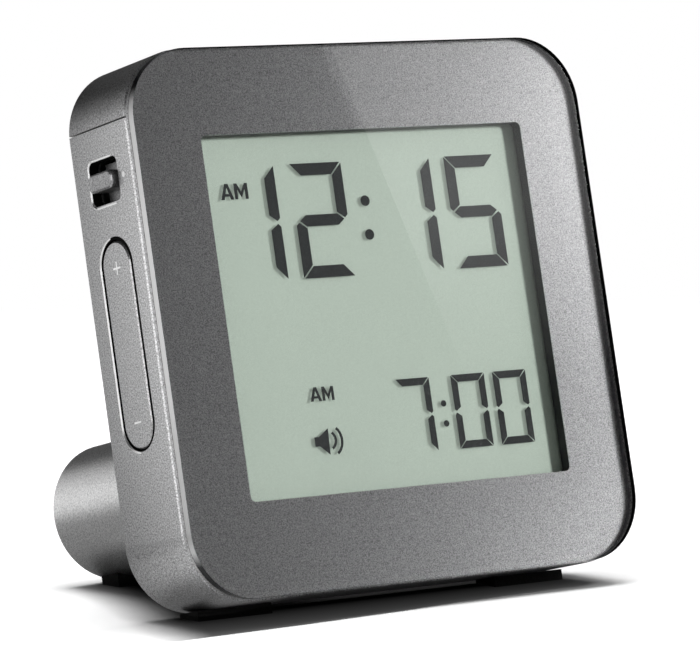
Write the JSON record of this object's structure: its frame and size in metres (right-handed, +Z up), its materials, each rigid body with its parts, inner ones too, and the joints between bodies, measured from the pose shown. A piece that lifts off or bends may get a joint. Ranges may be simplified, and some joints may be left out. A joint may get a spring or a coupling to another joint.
{
  "type": "radio-controlled alarm clock",
  "caption": "Small square digital alarm clock with a flat clear front, a pressed top bar and side controls, leaning back on a round battery tube.",
  "frame": {"origin": "middle of the footprint, on the surface the clock stands on", "axes": "+X to the right as the reader sees the clock, +Y to the back, +Z up; the face looks towards -Y and leans back"},
  "size_m": [0.0764, 0.0592, 0.0774],
  "materials": {
    "lens_clear": "polished clear, flat",
    "paint_silver": "fine metallic grey paint, satin",
    "knob_silver": "fine metallic grey paint, satin",
    "frame_black": "matt black moulding",
    "cover_grey": "fine metallic grey paint, satin",
    "lcd_grey": "grey-green reflective display",
    "guide_white": "milky white moulding",
    "board_green": "solder mask over laminate",
    "part_black": "moulded black",
    "steel": "nickel plated",
    "cell_skin": "printed sleeve over metal",
    "rubber_black": "soft matt",
    "ferrite": "dark sintered",
    "copper_wire": "enamelled winding"
  },
  "bodies": {
    "clock": {"front_lens": "lens_clear", "front_mask": "paint_silver", "front_frame": "frame_black", "case_shell": "paint_silver", "rear_cover": "cover_grey", "case_screws": "steel", "battery_tube": "paint_silver", "cell_holder": "frame_black", "aaa_cell": "cell_skin", "front_contact": "steel", "tube_strip": "steel", "foot_left": "rubber_black", "foot_right": "rubber_black", "foot_tube": "rubber_black", "lcd_glass": "lcd_grey", "light_guide": "guide_white", "zebra_strip": "rubber_black", "main_board": "board_green", "board_screws": "steel", "backlight_led": "guide_white", "snooze_tact": "part_black", "side_board": "board_green", "mode_switch": "part_black", "rocker_saddle": "frame_black", "rocker_pin": "steel", "plus_tact": "part_black", "minus_tact": "part_black", "alarm_switch": "part_black", "sync_tact": "part_black", "buzzer": "part_black", "ferrite_rod": "ferrite", "aerial_coil": "copper_wire", "clock_chip": "part_black", "quartz_can": "steel"},
    "snooze_bar": {"snooze_bar": "paint_silver"},
    "mode_knob": {"mode_knob": "knob_silver"},
    "set_rocker": {"set_rocker": "paint_silver"},
    "alarm_knob": {"alarm_knob": "part_black"},
    "sync_button": {"sync_button": "part_black"},
    "battery_cap": {"battery_cap": "paint_silver", "cap_contact": "steel"}
  },
  "joints": [
    {"name": "snooze_press", "type": "slide", "parent": "clock", "child": "snooze_bar", "axis": [0, -0.2035, -0.9791], "range_m": [0, 0.00015], "stiffness_N_per_m": 3000},
    {"name": "mode_slide", "type": "slide", "parent": "clock", "child": "mode_knob", "axis": [0, 0.2035, 0.9791], "range_m": [-0.0016, 0.0016]},
    {"name": "rocker_tilt", "type": "hinge", "parent": "clock", "child": "set_rocker", "pos_m": [-0.03405, -0.01326, 0.03767], "axis": [0, 0.9791, -0.2035], "range_deg": [-2, 2], "stiffness_Nm_per_rad": 0.1},
    {"name": "alarm_slide", "type": "slide", "parent": "clock", "child": "alarm_knob", "axis": [-1, 0, 0], "range_m": [0, 0.0024]},
    {"name": "sync_press", "type": "slide", "parent": "clock", "child": "sync_button", "axis": [0, -0.9791, 0.2035], "range_m": [0, 0.0003], "stiffness_N_per_m": 1000},
    {"name": "cap_pull", "type": "slide", "parent": "clock", "child": "battery_cap", "axis": [0, 0.9791, -0.2035], "range_m": [0, 0.008]}
  ]
}
